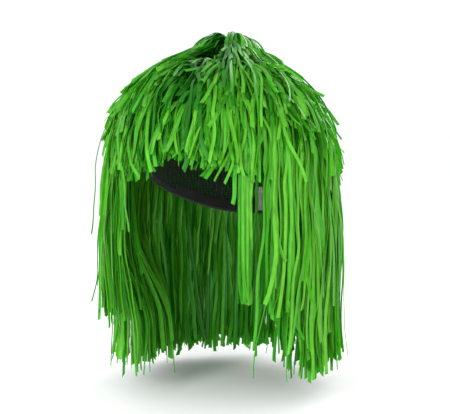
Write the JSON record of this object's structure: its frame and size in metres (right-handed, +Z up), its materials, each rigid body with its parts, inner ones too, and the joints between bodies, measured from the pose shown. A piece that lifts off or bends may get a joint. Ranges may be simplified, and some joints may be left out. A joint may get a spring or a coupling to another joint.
{
  "type": "costume wig",
  "caption": "Head-worn costume wig: a close sewn cap covered in rings of short foil ribbon fringe, a tied tuft on top and long locks of ribbon hinged at the hem",
  "frame": {"origin": "middle of the head hollow, at the mount head_fit", "axes": "+Z up towards the crown; the wearer faces -Y; +X is the wearer's left"},
  "size_m": [0.2152, 0.2279, 0.2916],
  "materials": {
    "foil_ribbon": "satin green film ribbon, cut about 4 mm wide and lightly crinkled",
    "weft_tape": "dark green woven tape with a stitched line",
    "thread": "dark green sewing thread, wound",
    "cap_net": "dark green knitted net",
    "binding": "near black woven tape with a stitched line",
    "elastic": "near black ribbed elastic",
    "label": "blank white woven label"
  },
  "bodies": {
    "root": {"cap_crown_panel": "cap_net", "cap_left_panel": "cap_net", "cap_right_panel": "cap_net", "care_label": "label", "crown_patch": "weft_tape", "crown_tuft": "foil_ribbon", "fringe_row_1": "foil_ribbon", "fringe_row_2": "foil_ribbon", "fringe_row_3": "foil_ribbon", "fringe_row_4": "foil_ribbon", "fringe_row_5": "foil_ribbon", "fringe_row_6": "foil_ribbon", "fringe_row_7": "foil_ribbon", "header_tape": "weft_tape", "hem_binding": "binding", "nape_elastic": "elastic", "seam_tape_left": "binding", "seam_tape_right": "binding", "tuft_tie": "thread", "weft_tape_1": "weft_tape", "weft_tape_2": "weft_tape", "weft_tape_3": "weft_tape", "weft_tape_4": "weft_tape", "weft_tape_5": "weft_tape", "weft_tape_6": "weft_tape", "weft_tape_7": "weft_tape"},
    "swing_back_lock_centre": {"back_lock_centre": "foil_ribbon", "back_lock_centre_header": "weft_tape"},
    "swing_fringe_lock_centre": {"fringe_lock_centre": "foil_ribbon", "fringe_lock_centre_header": "weft_tape"},
    "swing_fringe_lock_left": {"fringe_lock_left": "foil_ribbon", "fringe_lock_left_header": "weft_tape"},
    "swing_fringe_lock_right": {"fringe_lock_right": "foil_ribbon", "fringe_lock_right_header": "weft_tape"},
    "swing_rear_lock_left": {"rear_lock_left": "foil_ribbon", "rear_lock_left_header": "weft_tape"},
    "swing_rear_lock_right": {"rear_lock_right": "foil_ribbon", "rear_lock_right_header": "weft_tape"},
    "swing_side_lock_left": {"side_lock_left": "foil_ribbon", "side_lock_left_header": "weft_tape"},
    "swing_side_lock_right": {"side_lock_right": "foil_ribbon", "side_lock_right_header": "weft_tape"},
    "swing_temple_lock_left": {"temple_lock_left": "foil_ribbon", "temple_lock_left_header": "weft_tape"},
    "swing_temple_lock_right": {"temple_lock_right": "foil_ribbon", "temple_lock_right_header": "weft_tape"}
  },
  "joints": [
    {"name": "fringe_lock_centre_lift", "type": "hinge", "parent": "root", "child": "swing_fringe_lock_centre", "pos_m": [0, -0.08174, 0.05514], "axis": [-1, 0, 0], "range_deg": [0, 65]},
    {"name": "fringe_lock_left_lift", "type": "hinge", "parent": "root", "child": "swing_fringe_lock_left", "pos_m": [0.03853, -0.07149, 0.04957], "axis": [-0.8397, -0.4773, 0.2591], "range_deg": [0, 65]},
    {"name": "fringe_lock_right_lift", "type": "hinge", "parent": "root", "child": "swing_fringe_lock_right", "pos_m": [-0.03853, -0.07149, 0.04957], "axis": [-0.8397, 0.4773, -0.2591], "range_deg": [0, 65]},
    {"name": "temple_lock_left_lift", "type": "hinge", "parent": "root", "child": "swing_temple_lock_left", "pos_m": [0.0716, -0.03662, 0.03064], "axis": [-0.4106, -0.8013, 0.4351], "range_deg": [0, 45]},
    {"name": "temple_lock_right_lift", "type": "hinge", "parent": "root", "child": "swing_temple_lock_right", "pos_m": [-0.0716, -0.03662, 0.03064], "axis": [-0.4106, 0.8013, -0.4351], "range_deg": [0, 45]},
    {"name": "side_lock_left_lift", "type": "hinge", "parent": "root", "child": "swing_side_lock_left", "pos_m": [0.07989, 0.02134, -0.00083], "axis": [0.1629, -0.8671, 0.4708], "range_deg": [0, 45]},
    {"name": "side_lock_right_lift", "type": "hinge", "parent": "root", "child": "swing_side_lock_right", "pos_m": [-0.07989, 0.02134, -0.00083], "axis": [0.1629, 0.8671, -0.4708], "range_deg": [0, 45]},
    {"name": "rear_lock_left_lift", "type": "hinge", "parent": "root", "child": "swing_rear_lock_left", "pos_m": [0.05036, 0.07231, -0.02851], "axis": [0.7259, -0.6045, 0.3282], "range_deg": [0, 45]},
    {"name": "rear_lock_right_lift", "type": "hinge", "parent": "root", "child": "swing_rear_lock_right", "pos_m": [-0.05036, 0.07231, -0.02851], "axis": [0.7259, 0.6045, -0.3282], "range_deg": [0, 45]},
    {"name": "back_lock_centre_lift", "type": "hinge", "parent": "root", "child": "swing_back_lock_centre", "pos_m": [0, 0.09076, -0.03853], "axis": [1, 0, 0], "range_deg": [0, 45]}
  ]
}
